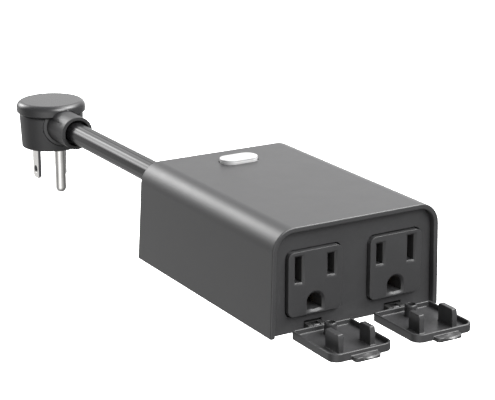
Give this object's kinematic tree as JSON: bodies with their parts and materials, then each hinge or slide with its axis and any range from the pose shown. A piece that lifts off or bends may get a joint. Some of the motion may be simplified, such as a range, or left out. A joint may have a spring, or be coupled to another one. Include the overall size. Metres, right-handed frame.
{
  "type": "smart plug",
  "caption": "Weatherproof smart plug: a round low-profile mains plug on a short lead, a housing with a push button, and switched outlets under flip covers.",
  "frame": {"origin": "centre of the plug's contact face, where it meets the wall outlet", "axes": "-Z along the prongs into the wall outlet, -Y along the lead to the housing and out of the outlets' faces, +X across the housing"},
  "size_m": [0.0676, 0.2951, 0.0558],
  "materials": {
    "housing_plastic": "fine satin texture",
    "panel_plastic": "satin",
    "outlet_plastic": "satin",
    "cover_plastic": "satin",
    "seal_rubber": "matte",
    "relief_rubber": "satin",
    "cord_jacket": "smooth",
    "plug_plastic": "satin",
    "cap_plastic": "satin",
    "carrier_plastic": "satin",
    "prong_metal": "nickel plated",
    "hinge_steel": "satin",
    "screw_steel": "zinc plated",
    "contact_brass": "satin",
    "button_white": "gloss",
    "clear_plastic": "clear",
    "board_green": "solder mask",
    "switch_black": "matte",
    "led_lens": "gloss",
    "shield_tin": "tin plated",
    "header_black": "matte",
    "relay_blue": "gloss",
    "bobbin_yellow": "taped",
    "can_sleeve": "gloss",
    "film_yellow": "satin",
    "disc_blue": "gloss",
    "fuse_glass": "gloss",
    "lead_black": "satin",
    "lead_white": "satin",
    "lead_green": "satin"
  },
  "bodies": {
    "housing": {"outer_shell": "housing_plastic", "base_plate": "housing_plastic", "front_panel": "panel_plastic", "panel_seal": "seal_rubber", "base_seal": "seal_rubber", "base_screws": "screw_steel", "receptacle_left": "outlet_plastic", "receptacle_right": "outlet_plastic", "live_contact_left": "contact_brass", "live_contact_right": "contact_brass", "neutral_bus": "contact_brass", "earth_bus": "contact_brass", "hinge_bracket_left": "cover_plastic", "hinge_bracket_right": "cover_plastic", "hinge_pin_left": "hinge_steel", "hinge_pin_right": "hinge_steel", "button_boot": "seal_rubber", "light_ring": "clear_plastic", "tact_switch": "switch_black", "status_led": "led_lens", "radio_module": "shield_tin", "control_board": "board_green", "board_header": "header_black", "power_board": "board_green", "board_screws": "screw_steel", "relay_left": "relay_blue", "relay_right": "relay_blue", "transformer": "bobbin_yellow", "storage_capacitor": "can_sleeve", "line_capacitor": "film_yellow", "varistor": "disc_blue", "fuse": "fuse_glass", "live_lead": "lead_black", "neutral_lead": "lead_white", "earth_lead": "lead_green", "strain_relief": "relief_rubber", "cord": "cord_jacket", "plug_body": "plug_plastic", "plug_cap": "cap_plastic", "prong_carrier": "carrier_plastic", "live_blade": "prong_metal", "neutral_blade": "prong_metal", "earth_pin": "prong_metal"},
    "cover_left": {"cover_left": "cover_plastic"},
    "cover_right": {"cover_right": "cover_plastic"},
    "button": {"button": "button_white"}
  },
  "joints": [
    {"name": "cover_left_hinge", "type": "hinge", "parent": "housing", "child": "cover_left", "pos_m": [-0.0161, -0.24845, -0.0023], "axis": [-1, 0, 0], "range_deg": [0, 90]},
    {"name": "cover_right_hinge", "type": "hinge", "parent": "housing", "child": "cover_right", "pos_m": [0.0161, -0.24845, -0.0023], "axis": [-1, 0, 0], "range_deg": [0, 90]},
    {"name": "button_press", "type": "slide", "parent": "housing", "child": "button", "axis": [0, 0, -1], "range_m": [0, 0.0005], "stiffness_N_per_m": 1500, "springref_m": -0.0005, "deforming": ["button_boot"]}
  ]
}
